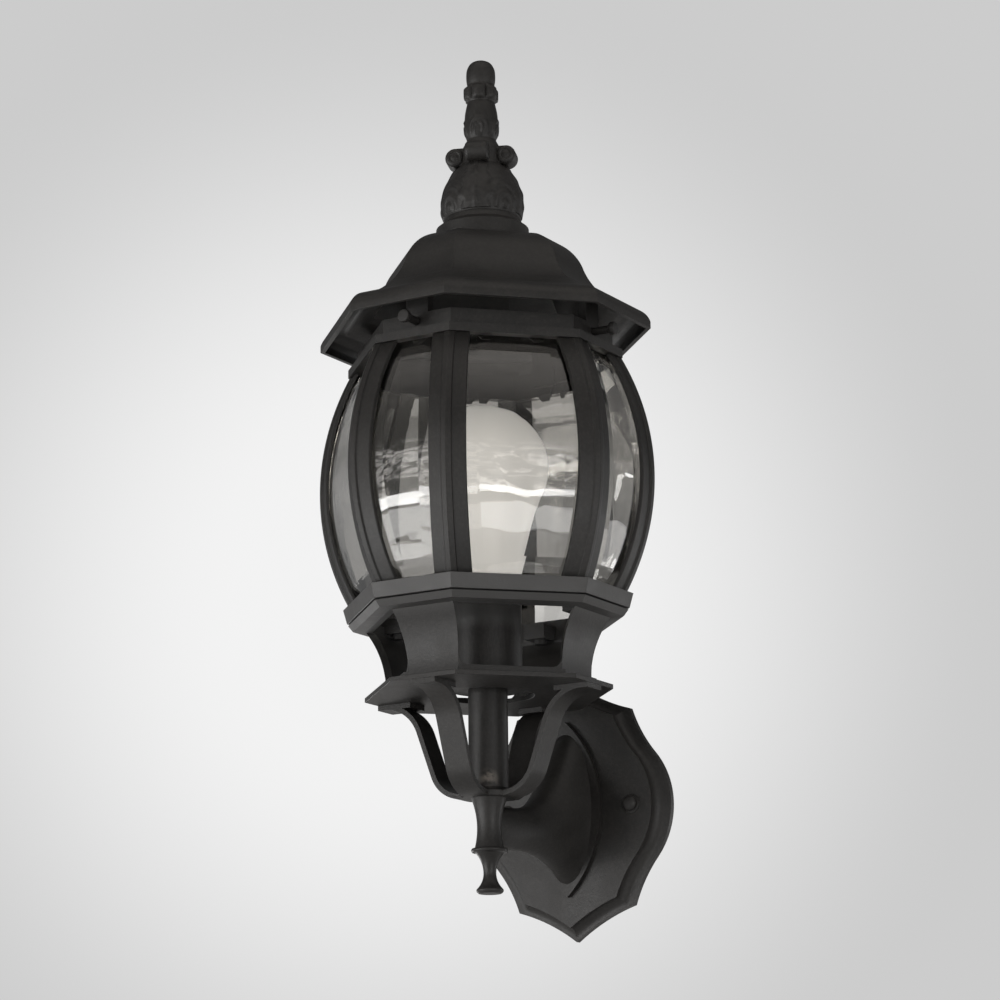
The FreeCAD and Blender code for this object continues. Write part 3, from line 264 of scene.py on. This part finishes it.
finishes = {
    "black_coat": black_coat_finish(),
    "clear_glass": clear_glass_finish(),
    "frosted_glass": frosted_glass_finish(),
    "zinc_steel": zinc_steel_finish(),
    "brass": brass_finish(),
    "porcelain": porcelain_finish(),
}


# Making pieces

def put(name, shape, slot, nodes=(), sharp=30.0, to_frame=ON_AXIS):
    """Makes a shape into a finished piece of the frame, in place of the nodes that it stands for."""
    bmesh.ops.transform(shape, matrix=to_frame, verts=shape.verts)
    mesh = bpy.data.meshes.new(name)
    shape.to_mesh(mesh)
    shape.free()
    mesh.polygons.foreach_set("use_smooth", [True] * len(mesh.polygons))
    mesh.set_sharp_from_angle(angle=math.radians(sharp))
    mesh.materials.append(finishes[slot])
    piece = bpy.data.objects.new(name, mesh)
    bpy.context.scene.collection.objects.link(piece)
    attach(piece, "root")
    if nodes:
        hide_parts(*nodes)
    return piece


def turn_to(shape, verts, angle):
    """Turns part of a shape about the upright axis, in degrees."""
    turn = Matrix.Rotation(math.radians(angle), 3, "Z")
    bmesh.ops.rotate(shape, verts=verts, cent=(0, 0, 0), matrix=turn)


def lay_down(shape, verts, axis):
    """Turns part of a shape by a quarter about X or Y, so that it no longer stands upright."""
    turn = Matrix.Rotation(math.pi / 2, 3, axis)
    bmesh.ops.rotate(shape, verts=verts, cent=(0, 0, 0), matrix=turn)


def corner_line(knots):
    """Points of a line with corners at knots of radius and height."""
    return [Vector((radius, 0.0, height)) for radius, height in knots]


def smooth_line(knots, steps):
    """Points of a smooth line through knots of radius and height."""
    points = corner_line(knots)
    ends = [points[0], *points, points[-1]]
    line = []
    for before, start, end, after in zip(ends, ends[1:], ends[2:], ends[3:]):
        leave = start + (end - before) / 6
        arrive = end - (after - start) / 6
        line += geometry.interpolate_bezier(start, leave, arrive, end, steps)[:-1]
    return line + [points[-1]]


def lathe(shape, line, steps):
    """Turns a line of points about the upright axis and returns the new vertices."""
    old = set(shape.verts)
    points = [shape.verts.new(point) for point in line]
    edges = [shape.edges.new(pair) for pair in zip(points, points[1:])]
    bmesh.ops.spin(shape, geom=points + edges, cent=(0, 0, 0), axis=(0, 0, 1), angle=math.tau,
                   steps=steps, use_merge=True)
    made = [vert for vert in shape.verts if vert not in old]
    bmesh.ops.remove_doubles(shape, verts=made, dist=1e-4)
    made = [vert for vert in shape.verts if vert not in old]
    bmesh.ops.recalc_face_normals(shape, faces=list({face for vert in made for face in vert.link_faces}))
    return made


def step(low, high, value):
    """0 below low, 1 above high and a smooth step between them."""
    share = min(max((value - low) / (high - low), 0.0), 1.0)
    return share * share * (3 - 2 * share)


def ridge(distance, half_width):
    """1 on a line and 0 at half_width from it, rounded like a cast bead."""
    return 1.0 - step(0.0, half_width, abs(distance))


# Castings

def eased(node, width, angle=32.0):
    """A casting with its edges eased, as a coat of powder leaves them."""
    shape = bmesh.new()
    shape.from_mesh(frame["nodes"][node].data)
    bmesh.ops.remove_doubles(shape, verts=shape.verts, dist=1e-6)
    bmesh.ops.dissolve_limit(shape, angle_limit=math.radians(0.5), use_dissolve_boundaries=False,
                             verts=shape.verts, edges=shape.edges)
    piece = put(f"{node}_casting", shape, "black_coat", [node], sharp=angle, to_frame=Matrix.Identity(4))
    packed_normals = piece.data.attributes.get("custom_normal")
    if packed_normals:
        piece.data.attributes.remove(packed_normals)
    easing = piece.modifiers.new("eased_edges", "BEVEL")
    easing.width = width * MM
    easing.segments = 2
    easing.limit_method = "ANGLE"
    easing.angle_limit = math.radians(angle)
    easing.harden_normals = True


for casting, easing_width in {
    "roof": 0.7, "cage_top_ring": 0.5, "cage_bottom_ring": 0.6, "gallery": 0.5, "deck_plate": 0.5,
    "scroll_bracket": 0.5, "back_plate": 0.6, "arm": 0.5, "drop_finial": 0.4,
    **{f"rib_{number + 1}": 0.4 for number in range(FACES)},
}.items():
    eased(casting, easing_width)


# Glass clips

def make_clips():
    """Spring clips whose short leaves narrow towards their tips behind the glass."""
    shape = bmesh.new()
    shape.from_mesh(frame["nodes"]["glass_clips"].data)
    bmesh.ops.remove_doubles(shape, verts=shape.verts, dist=1e-6)
    bmesh.ops.transform(shape, matrix=ON_AXIS.inverted(), verts=shape.verts)
    lowest = min(vert.co.z for vert in shape.verts)
    for vert in shape.verts:
        if vert.co.z < lowest + CLIP_TIP:
            face = round(math.degrees(math.atan2(vert.co.y, vert.co.x)) / FACE_TURN)
            turn = Matrix.Rotation(math.radians(FACE_TURN * face), 3, "Z")
            local = turn.inverted() @ vert.co
            middle = math.copysign(CLIP_SPREAD, local.y) if face % 2 else 0.0
            local.y = middle + CLIP_TAPER * (local.y - middle)
            vert.co = turn @ (local + CLIP_LIFT)
    put("glass_clip_springs", shape, "black_coat", ["glass_clips"])


make_clips()


# Finial

def finial_relief(turn, rise, radius):
    """How far the carving of the finial stands out, in millimetres, at a turn in degrees and a rise."""
    quarter = (turn + 45.0) % 90.0 - 45.0
    between = turn % 90.0 - 45.0
    along = math.radians(quarter) * radius
    across = math.radians(between) * radius
    if rise < 29.0:
        return leaf_relief(along, rise) + shell_relief(across, rise)
    if 40.0 < rise < 61.0:
        return arch_relief(along, rise)
    if 61.0 < rise < 70.0:
        lobes = abs(math.sin(math.radians(3 * turn))) ** 0.6
        return 2.0 * lobes * step(61.0, 63.0, rise) * (1 - step(67.5, 70.0, rise))
    return 0.0


def leaf_relief(along, rise):
    """A tall lobed leaf with a rib down its middle and slanting side veins."""
    share = (rise - 1.0) / 27.0
    if not 0.0 < share < 1.0:
        return 0.0
    lobes = 1.0 + 0.15 * math.cos(math.tau * 3.5 * share)
    half = 8.6 * math.sin(math.pi * (0.3 + 0.6 * share)) ** 0.8 * lobes
    inside = 1.0 - abs(along) / half
    if inside <= 0.0:
        return 0.0
    veins = 0.5 + 0.5 * math.cos(math.tau * (3.5 * share + 0.9 * abs(along) / half))
    body = step(0.0, 0.3, inside)
    return body * (0.7 + 0.5 * step(0.7, 1.0, share) + 0.5 * ridge(along, 1.6) - 0.4 * veins * inside)


def shell_relief(across, rise):
    """Nested arches that fan out from the foot between two leaves."""
    distance = math.hypot(across, 0.8 * (rise - 3.0))
    rings = 0.5 + 0.5 * math.cos(math.tau * (distance - 1.0) / 4.0)
    fan = (1 - step(11.5, 14.0, distance)) * (1 - step(5.0, 7.5, abs(across)))
    return 0.6 * rings * fan * step(0.8, 2.0, rise)


def arch_relief(along, rise):
    """Two nested arches standing on the neck of the bud."""
    distance = math.hypot(along, max(rise - 46.8, 0.0))
    return 0.55 * step(42.0, 45.0, rise) * (ridge(distance - 4.3, 1.5) + ridge(distance - 1.9, 1.1))


def make_finial():
    """Cast finial: leafy urn, four scroll volutes, carved bud, lobed collar and a smooth egg."""
    shape = bmesh.new()
    line = corner_line([(0.0, 0.0), (18.4, 0.0)])
    line += smooth_line([
        (18.8, 0.3), (19.0, 1.6), (19.6, 4.5), (19.8, 8.0), (19.1, 13.0), (16.9, 19.0), (13.2, 25.2)], 9)
    line += smooth_line([(11.6, 26.8), (10.4, 28.4), (9.9, 32.0), (9.6, 36.4), (8.0, 39.6)], 5)
    line += smooth_line([(7.1, 41.4), (8.0, 44.6), (8.3, 49.5), (8.0, 55.0), (7.0, 60.2)], 11)
    line += smooth_line([(6.7, 61.0), (6.8, 62.0), (6.9, 66.0), (6.8, 68.6), (6.7, 70.2)], 6)
    line += smooth_line([
        (6.8, 70.6), (7.1, 72.4), (7.2, 75.4), (6.8, 78.6), (5.2, 81.4), (2.6, 82.8), (0.0, 83.2)], 5)
    for vert in lathe(shape, line, 200):
        radius = math.hypot(vert.co.x, vert.co.y)
        if radius > 4.0 and vert.co.z > 0.2:
            turn = math.degrees(math.atan2(vert.co.y, vert.co.x))
            grown = 1.0 + finial_relief(turn, vert.co.z, radius) / radius
            vert.co.x *= grown
            vert.co.y *= grown
    for _ in range(4):
        add_volute(shape)
        turn_to(shape, shape.verts, 90.0)
    bmesh.ops.translate(shape, verts=shape.verts, vec=(0.0, 0.0, FINIAL_FOOT))
    turn_to(shape, shape.verts, FINIAL_TURN)
    put("finial_carving", shape, "black_coat", ["finial"], sharp=50.0)


def add_volute(shape):
    """A leaf tip rolled outwards on a thick web, with a scroll cut in each end."""
    leaf = bmesh.new()
    bmesh.ops.create_cone(leaf, cap_ends=True, cap_tris=False, segments=40, radius1=VOLUTE_RADIUS,
                          radius2=VOLUTE_RADIUS, depth=VOLUTE_WIDTH)
    rims = [edge for edge in leaf.edges if any(len(face.verts) > 4 for face in edge.link_faces)]
    bmesh.ops.bevel(leaf, geom=rims, offset=2.1, segments=6, profile=0.5, affect="EDGES", material=-1)
    for end in [face for face in leaf.faces if len(face.verts) > 4]:
        for inset, sink in ((0.3, -0.3), (0.6, 0.0), (0.4, 0.3)):
            bmesh.ops.inset_region(leaf, faces=[end], thickness=inset, depth=sink)
    web = bmesh.ops.create_cube(leaf, size=1.0)["verts"]
    bmesh.ops.scale(leaf, verts=web, vec=(VOLUTE_REACH / 2, 1.9 * VOLUTE_RADIUS, VOLUTE_WIDTH - 2.0))
    bmesh.ops.translate(leaf, verts=web, vec=(-VOLUTE_REACH / 4, 0.05 * VOLUTE_RADIUS, 0.0))
    sides = list({edge for vert in web for edge in vert.link_edges})
    bmesh.ops.bevel(leaf, geom=sides, offset=0.9, segments=3, profile=0.5, affect="EDGES", material=-1)
    lay_down(leaf, leaf.verts, "X")
    bmesh.ops.translate(leaf, verts=leaf.verts, vec=(VOLUTE_REACH, 0.0, VOLUTE_RISE))
    mesh = bpy.data.meshes.new("volute")
    leaf.to_mesh(mesh)
    leaf.free()
    shape.from_mesh(mesh)
    bpy.data.meshes.remove(mesh)


make_finial()


# Glass

def barrel_reach(height):
    """How far the outside of the glass lies from the axis on a face that looks along X or Y."""
    half = (GLASS_TOP - GLASS_FOOT) / 2
    centre = GLASS_REACH - math.sqrt(BARREL_RADIUS ** 2 - half ** 2)
    return centre + math.sqrt(BARREL_RADIUS ** 2 - (height - GLASS_FOOT - half) ** 2)


def grid_place(line, lines, edge_lines, half, edge):
    """Where a line of a pane's grid lies from its middle, with edge_lines of them in the bevel."""
    inner = lines / 2 - edge_lines
    in_field = min(abs(line), inner) / inner * (half - edge)
    in_edge = max(abs(line) - inner, 0.0) / edge_lines * edge
    return math.copysign(in_field + in_edge, line)


def make_pane(number):
    """A curved pane with polished bevels along all four edges, mitred behind the ribs."""
    diagonal = number % 2
    shift = FACE_STEP if diagonal else 0.0
    lean = math.sqrt(2) * FACE_STEP * (1 if diagonal else -1)
    half_height = (GLASS_TOP - GLASS_FOOT) / 2
    middle = GLASS_FOOT + half_height

    def half_width(out):
        return HALF_FACE * out + lean - GLASS_GAP / 2

    def outward(height):
        angle = math.asin(min(max((height - middle) / BARREL_RADIUS, -1.0), 1.0))
        return Vector((math.cos(angle), 0.0, math.sin(angle)))

    def at_end(height):
        return abs(height - middle) >= half_height - END_SLACK

    shape = bmesh.new()
    bmesh.ops.create_grid(shape, x_segments=PANE_COLUMNS, y_segments=PANE_ROWS, size=1.0)
    for vert in shape.verts:
        row = vert.co.y * PANE_ROWS / 2
        column = vert.co.x * PANE_COLUMNS / 2
        height = middle + grid_place(row, PANE_ROWS, 2, half_height, END_BEVEL)
        out = barrel_reach(height) - shift
        across = grid_place(column, PANE_COLUMNS, 1, half_width(out), SIDE_BEVEL)
        vert.co = (out, across, height)
    fronts = list(shape.verts)
    made = bmesh.ops.extrude_face_region(shape, geom=list(shape.faces), use_keep_orig=True)["geom"]
    for vert in (item for item in made if isinstance(item, bmesh.types.BMVert)):
        inward = outward(vert.co.z) * GLASS_THICK
        if at_end(vert.co.z):
            inward.z = 0.0
        vert.co -= inward
    for vert in fronts:
        side_share = (half_width(vert.co.x) - abs(vert.co.y)) / SIDE_BEVEL
        end_share = (half_height - abs(vert.co.z - middle)) / END_BEVEL
        depth = BEVEL_DEPTH * (1 - max(min(side_share, end_share, 1.0), 0.0))
        normal = Vector((1.0, 0.0, 0.0)) if at_end(vert.co.z) else outward(vert.co.z)
        vert.co -= normal * depth
    bmesh.ops.recalc_face_normals(shape, faces=shape.faces)
    turn_to(shape, shape.verts, FACE_TURN * number)
    put(f"bevelled_pane_{number + 1}", shape, "clear_glass", [f"glass_panel_{number + 1}"], sharp=5.0)


for pane in range(FACES):
    make_pane(pane)


# Bulb

def make_bulb():
    """Frosted globe, and the screw base under it."""
    globe = bmesh.new()
    line = corner_line([(0.0, 101.2), (12.6, 101.2)])
    line += smooth_line([
        (13.4, 101.8), (15.8, 105.5), (18.3, 115.0), (21.8, 128.5), (26.3, 141.8), (29.2, 149.0),
        (30.0, 156.0), (28.3, 166.0), (23.0, 175.2), (15.2, 181.9), (7.7, 185.0), (0.0, 186.0)], 7)
    lathe(globe, line, 96)
    put("bulb_globe", globe, "frosted_glass", ["bulb"], sharp=50.0)
    base = bmesh.new()
    threads = [(13.0 if ring % 2 else 12.1, 82.6 + 1.8 * ring) for ring in range(10)]
    line = corner_line([(0.0, 78.5), (3.9, 78.5), (9.4, 80.9)])
    line += smooth_line(threads, 4)
    line += corner_line([(12.9, 101.1), (0.0, 101.1)])
    lathe(base, line, 64)
    put("bulb_screw_base", base, "brass", sharp=40.0)


make_bulb()


# Screws that show

def make_thumb_screws():
    """Four screws with scalloped thumb heads, set in the band under the eave."""
    shape = bmesh.new()
    line = corner_line([
        (0.0, 58.5), (1.5, 58.5), (1.9, 59.0), (1.9, 69.6), (2.6, 70.0), (3.0, 70.3),
        (3.2, 70.7), (3.2, 72.4), (2.9, 72.9), (1.8, 73.0), (0.0, 73.0)])
    for number in range(4):
        made = lathe(shape, line, 72)
        for vert in made:
            if math.hypot(vert.co.x, vert.co.y) > 2.8:
                scallop = 1.0 - 0.06 * (0.5 + 0.5 * math.cos(18 * math.atan2(vert.co.y, vert.co.x)))
                vert.co.x *= scallop
                vert.co.y *= scallop
        lay_down(shape, made, "Y")
        bmesh.ops.translate(shape, verts=made, vec=(0.0, 0.0, THUMB_HEIGHT))
        turn_to(shape, made, 90.0 * number)
    put("thumb_screw_heads", shape, "black_coat", ["thumb_screws"], sharp=35.0)


def make_mounting_screws():
    """Two screws with ball caps on the plate, and their studs behind it."""
    shape = bmesh.new()
    line = corner_line([
        (0.0, -14.0), (1.6, -14.0), (2.05, -13.5), (2.05, 6.4), (2.5, 6.5), (2.5, 9.0),
        (4.6, 9.05), (4.7, 9.3), (4.5, 9.7)])
    line += smooth_line([(3.6, 9.9), (3.8, 10.8), (3.5, 12.0), (2.6, 12.9), (1.3, 13.3), (0.0, 13.4)], 5)
    for side in (-1, 1):
        made = lathe(shape, line, 40)
        lay_down(shape, made, "X")
        bmesh.ops.translate(shape, verts=made, vec=(side * MOUNT_SPACING / 2, 0.0, 0.0))
    put("mounting_screw_caps", shape, "black_coat", ["mounting_screws"], sharp=40.0, to_frame=ON_WALL)


make_thumb_screws()
make_mounting_screws()

# Finishes of the solids that stay as they are
slots = {part["node"]: part["material_slot"] for part in frame["record"]["subparts"]}
for node, solid in frame["nodes"].items():
    if not solid.hide_render:
        solid.material_slots[0].material = finishes[slots[node]]


# Studio

def toward(azimuth, elevation):
    """A direction to the right of the front by an azimuth and up by an elevation."""
    turn, rise = math.radians(azimuth), math.radians(elevation)
    return Vector((math.sin(turn) * math.cos(rise), -math.cos(turn) * math.cos(rise), math.sin(rise)))


def make_floor():
    """A plain pale floor well below the lantern."""
    shape = bmesh.new()
    bmesh.ops.create_circle(shape, cap_ends=True, segments=96, radius=FLOOR_RADIUS)
    bmesh.ops.translate(shape, verts=shape.verts, vec=(0.0, 0.0, FLOOR_HEIGHT))
    mesh = bpy.data.meshes.new("studio_floor")
    shape.to_mesh(mesh)
    shape.free()
    mesh.materials.append(floor_finish())
    floor = bpy.data.objects.new("studio_floor", mesh)
    bpy.context.scene.collection.objects.link(floor)


def photo_axes():
    """Right, up and back of the camera."""
    azimuth, roll = math.radians(CAMERA_AZIMUTH), math.radians(CAMERA_ROLL)
    right = Vector((math.cos(azimuth), math.sin(azimuth), 0.0))
    back = toward(CAMERA_AZIMUTH, CAMERA_ELEVATION)
    up = back.cross(right)
    return right * math.cos(roll) + up * math.sin(roll), up * math.cos(roll) - right * math.sin(roll), back


def make_camera():
    """A camera at the photograph's viewing angle."""
    camera = bpy.data.objects.new("camera", bpy.data.cameras.new("camera"))
    bpy.context.scene.collection.objects.link(camera)
    right, up, back = photo_axes()
    stand = Matrix.Translation(CAMERA_AIM + back * CAMERA_DISTANCE)
    camera.matrix_world = stand @ Matrix((right, up, back)).transposed().to_4x4()
    camera.data.sensor_width = SENSOR_WIDTH
    camera.data.lens = LENS_LENGTH
    camera.data.shift_x = SHIFT_RIGHT
    camera.data.shift_y = SHIFT_UP
    camera.data.clip_end = 50.0
    bpy.context.scene.camera = camera


def make_world():
    """A pale backdrop with a pool of light behind the lantern. Glass and coat mirror a dimmer room."""
    world = bpy.data.worlds.new("studio")
    bpy.context.scene.world = world
    world.use_nodes = True
    sky = Nodes(world.node_tree)
    place = sky.add("TexCoord", {}, {}, output="Generated")
    right, up, back = photo_axes()

    def facing(direction):
        ends = {0: place, 1: tuple(direction)}
        return sky.add("VectorMath", {"operation": "DOT_PRODUCT"}, ends, output="Value")

    def path(kind):
        return sky.add("LightPath", {}, {}, output=kind)

    pool = facing((-back + POOL_RIGHT * right + POOL_UP * up).normalized())
    glow = 1 - pool.math("ARCCOSINE", pool).between(POOL_CORE, POOL_EDGE)
    backdrop = sky.blend(glow, grey(0.604), grey(0.894))
    level = facing((0.0, 0.0, 1.0))
    ahead = facing((back.x, back.y, 0.0)).between(-0.2, 0.3)
    band = level.between(-0.14, -0.04) * (1 - level.between(0.2, 0.34)) * ahead
    drawn_out = sky.add("Mapping", {}, {"Vector": place, "Scale": (70.0, 70.0, 24.0)})
    streaks = sky.noise(drawn_out, 1.0, 4.0, 0.6, 0.3)
    room = sky.blend(level.between(0.2, 0.28), grey(0.36), grey(0.13))
    room = sky.blend(level.between(0.4, 0.85) * ahead, room, grey(1.0, 0.05))
    room = sky.blend(band * streaks.between(0.5, 0.62), room, grey(4.0, 0.03))
    left = facing(toward(LEFT_AZIMUTH, 0.0)).between(0.84, 0.96)
    room = sky.blend(band * left * streaks.between(0.47, 0.59), room, grey(4.0, 0.03))
    past_one_pane = 1 - path("Transmission Depth").between(2.4, 2.6)
    beyond = path("Is Transmission Ray") * (1 - facing(back).between(-0.95, -0.8))
    seen = path("Is Camera Ray") + past_one_pane * beyond
    background = world.node_tree.nodes["Background"]
    sky.fill(background, {"Color": sky.blend(seen, room, backdrop), "Strength": 1.0})


def make_light(name, azimuth, elevation, distance, size, power):
    """A soft box that faces the middle of the lantern, or away from it where the distance is below zero."""
    lamp = bpy.data.lights.new(name, "AREA")
    lamp.shape = "RECTANGLE"
    lamp.size, lamp.size_y = size
    lamp.energy = power
    light = bpy.data.objects.new(name, lamp)
    bpy.context.scene.collection.objects.link(light)
    light.visible_camera = False
    away = toward(azimuth, elevation)
    light.location = LANTERN_MIDDLE + distance * away
    light.rotation_euler = (-away).to_track_quat("-Z", "Y").to_euler()


make_floor()
make_camera()
make_world()
make_light("key_box", -44.0, -13.0, 1.9, (2.2, 0.4), 11.5)
make_light("low_box", -31.0, -25.0, 1.2, (0.7, 0.2), 1.6)
make_light("key_strip", -36.0, -4.0, 1.9, (1.5, 0.12), 6.0)
make_light("fill_box", 64.0, -15.0, 1.9, (1.2, 0.36), 4.5)
make_light("fill_strip", 61.0, -4.0, 1.9, (0.8, 0.1), 2.2)
make_light("back_box", 150.0, -8.0, 1.9, (0.9, 0.5), 2.0)
make_light("floor_box", 0.0, 90.0, -0.4, (3.0, 3.0), 2.5)
make_light("left_strip", -121.0, -20.0, 1.0, (0.5, 0.15), 1.2)
make_light("rim_strip", 150.0, -2.0, 1.8, (0.08, 0.9), 1.4)
bpy.context.scene.view_settings.view_transform = "Standard"
